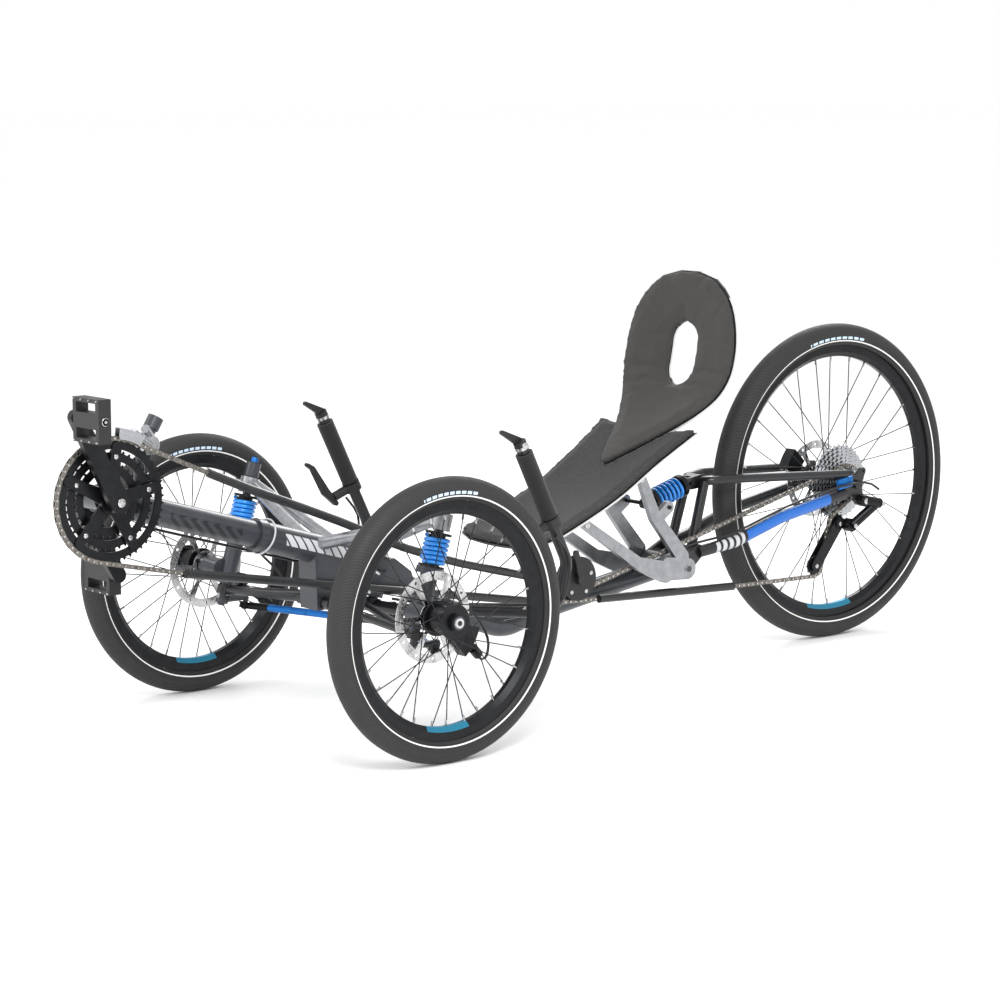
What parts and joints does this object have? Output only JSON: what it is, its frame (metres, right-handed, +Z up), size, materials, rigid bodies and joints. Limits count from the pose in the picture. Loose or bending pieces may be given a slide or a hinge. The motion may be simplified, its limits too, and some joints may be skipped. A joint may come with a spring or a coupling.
{
  "type": "recumbent tricycle",
  "caption": "Recumbent tricycle with steered sprung front wheels, a chain-driven rear wheel, a reclined seat, under-seat handlebars and a pedal boom.",
  "frame": {"origin": "on the ground under the middle of the whole tricycle, halfway along its length", "axes": "+X forward, +Y to the rider's left, +Z up"},
  "size_m": [2.2109, 0.844, 0.7807],
  "materials": {
    "main_frame": "satin dark grey paint",
    "boom": "satin dark grey paint",
    "cross_member": "satin silver",
    "wishbones": "satin black",
    "seat_shell_lower": "dark laminate",
    "seat_shell_upper": "dark laminate",
    "seat_pad_lower": "dark grey foam pad",
    "seat_pad_upper": "dark grey foam pad",
    "seat_bracket_left": "satin forged",
    "seat_bracket_right": "satin forged",
    "seat_clamp": "black",
    "swing_arm": "satin black with blue trim",
    "shock_body": "black anodised",
    "shock_spring": "gloss blue",
    "chain": "oiled steel",
    "chain_tubes": "black plastic",
    "idler": "black plastic",
    "front_derailleur": "satin silver",
    "rear_derailleur": "black",
    "rear_brake_caliper": "black",
    "frame_cables": "black cable housing",
    "knuckle_left": "dark grey",
    "knuckle_right": "dark grey",
    "strut_spring_left": "gloss blue",
    "strut_spring_right": "gloss blue",
    "brake_caliper_left": "black",
    "brake_caliper_right": "black",
    "brake_cable_left": "black cable housing",
    "brake_cable_right": "black cable housing",
    "handlebar": "satin black",
    "grip_left": "black foam rubber",
    "grip_right": "black foam rubber",
    "brake_lever_left": "black",
    "brake_lever_right": "black",
    "shifter_left": "black",
    "shifter_right": "black",
    "bar_cables": "black cable housing",
    "tie_rod_left": "blue anodised",
    "tie_rod_right": "blue anodised",
    "crank_arms": "black",
    "chainrings": "black with bright teeth",
    "pedal_left": "black",
    "pedal_right": "black",
    "tyre_left": "black rubber with a pale line",
    "rim_left": "black anodised",
    "spokes_left": "dark steel",
    "hub_left": "black",
    "brake_rotor_left": "steel",
    "tyre_right": "black rubber with a pale line",
    "rim_right": "black anodised",
    "spokes_right": "dark steel",
    "hub_right": "black",
    "brake_rotor_right": "steel",
    "tyre_rear": "black rubber with a pale line",
    "rim_rear": "black anodised",
    "spokes_rear": "dark steel",
    "hub_rear": "black",
    "brake_rotor_rear": "steel",
    "cassette": "steel"
  },
  "bodies": {
    "frame": {"main_frame": "main_frame", "boom": "boom", "cross_member": "cross_member", "wishbones": "wishbones", "seat_shell_lower": "seat_shell_lower", "seat_shell_upper": "seat_shell_upper", "seat_pad_lower": "seat_pad_lower", "seat_pad_upper": "seat_pad_upper", "seat_bracket_left": "seat_bracket_left", "seat_bracket_right": "seat_bracket_right", "seat_clamp": "seat_clamp", "swing_arm": "swing_arm", "shock_body": "shock_body", "shock_spring": "shock_spring", "chain": "chain", "chain_tubes": "chain_tubes", "idler": "idler", "front_derailleur": "front_derailleur", "rear_derailleur": "rear_derailleur", "rear_brake_caliper": "rear_brake_caliper", "frame_cables": "frame_cables"},
    "steered_left": {"knuckle_left": "knuckle_left", "strut_spring_left": "strut_spring_left", "brake_caliper_left": "brake_caliper_left", "brake_cable_left": "brake_cable_left"},
    "steered_right": {"knuckle_right": "knuckle_right", "strut_spring_right": "strut_spring_right", "brake_caliper_right": "brake_caliper_right", "brake_cable_right": "brake_cable_right"},
    "bar": {"handlebar": "handlebar", "grip_left": "grip_left", "grip_right": "grip_right", "brake_lever_left": "brake_lever_left", "brake_lever_right": "brake_lever_right", "shifter_left": "shifter_left", "shifter_right": "shifter_right", "bar_cables": "bar_cables"},
    "rod_left": {"tie_rod_left": "tie_rod_left"},
    "rod_right": {"tie_rod_right": "tie_rod_right"},
    "crank": {"crank_arms": "crank_arms", "chainrings": "chainrings"},
    "pedal_left_body": {"pedal_left": "pedal_left"},
    "pedal_right_body": {"pedal_right": "pedal_right"},
    "wheel_left": {"tyre_left": "tyre_left", "rim_left": "rim_left", "spokes_left": "spokes_left", "hub_left": "hub_left", "brake_rotor_left": "brake_rotor_left"},
    "wheel_right": {"tyre_right": "tyre_right", "rim_right": "rim_right", "spokes_right": "spokes_right", "hub_right": "hub_right", "brake_rotor_right": "brake_rotor_right"},
    "wheel_rear": {"tyre_rear": "tyre_rear", "rim_rear": "rim_rear", "spokes_rear": "spokes_rear", "hub_rear": "hub_rear", "brake_rotor_rear": "brake_rotor_rear", "cassette": "cassette"}
  },
  "joints": [
    {"name": "steering", "type": "hinge", "parent": "frame", "child": "bar", "pos_m": [0.4135, 0, 0.205], "axis": [-0.2924, 0, 0.9563], "range_deg": [-25, 25]},
    {"name": "kingpin_left", "type": "hinge", "parent": "frame", "child": "steered_left", "pos_m": [0.5265, 0.293, 0.2475], "axis": [-0.2924, 0, 0.9563], "range_deg": [-25, 25]},
    {"name": "kingpin_right", "type": "hinge", "parent": "frame", "child": "steered_right", "pos_m": [0.5265, -0.293, 0.2475], "axis": [-0.2924, 0, 0.9563], "range_deg": [-25, 25]},
    {"name": "rod_pivot_left", "type": "hinge", "parent": "bar", "child": "rod_left", "pos_m": [0.36728, 0, 0.173], "axis": [-0.2924, 0, 0.9563], "range_deg": [-25, 25]},
    {"name": "rod_pivot_right", "type": "hinge", "parent": "bar", "child": "rod_right", "pos_m": [0.36728, 0, 0.173], "axis": [-0.2924, 0, 0.9563], "range_deg": [-25, 25]},
    {"name": "crank_turn", "type": "hinge", "parent": "frame", "child": "crank", "pos_m": [0.9955, 0, 0.45789], "axis": [0, 1, 0], "range_deg": [0, 360]},
    {"name": "pedal_left_turn", "type": "hinge", "parent": "crank", "child": "pedal_left_body", "pos_m": [1.07531, 0.075, 0.60799], "axis": [0, 1, 0], "range_deg": [0, 360]},
    {"name": "pedal_right_turn", "type": "hinge", "parent": "crank", "child": "pedal_right_body", "pos_m": [0.91569, -0.062, 0.30779], "axis": [0, 1, 0], "range_deg": [0, 360]},
    {"name": "wheel_left_turn", "type": "hinge", "parent": "steered_left", "child": "wheel_left", "pos_m": [0.5435, 0.386, 0.2475], "axis": [0, 1, 0], "range_deg": [0, 360]},
    {"name": "wheel_right_turn", "type": "hinge", "parent": "steered_right", "child": "wheel_right", "pos_m": [0.5435, -0.386, 0.2475], "axis": [0, 1, 0], "range_deg": [0, 360]},
    {"name": "wheel_rear_turn", "type": "hinge", "parent": "frame", "child": "wheel_rear", "pos_m": [-0.7785, 0, 0.327], "axis": [0, 1, 0], "range_deg": [0, 360]}
  ],
  "couplings": [
    {"joint": "kingpin_left", "follows": "steering", "ratio": 1},
    {"joint": "kingpin_right", "follows": "steering", "ratio": 1},
    {"joint": "rod_pivot_left", "follows": "steering", "ratio": -1},
    {"joint": "rod_pivot_right", "follows": "steering", "ratio": -1}
  ]
}
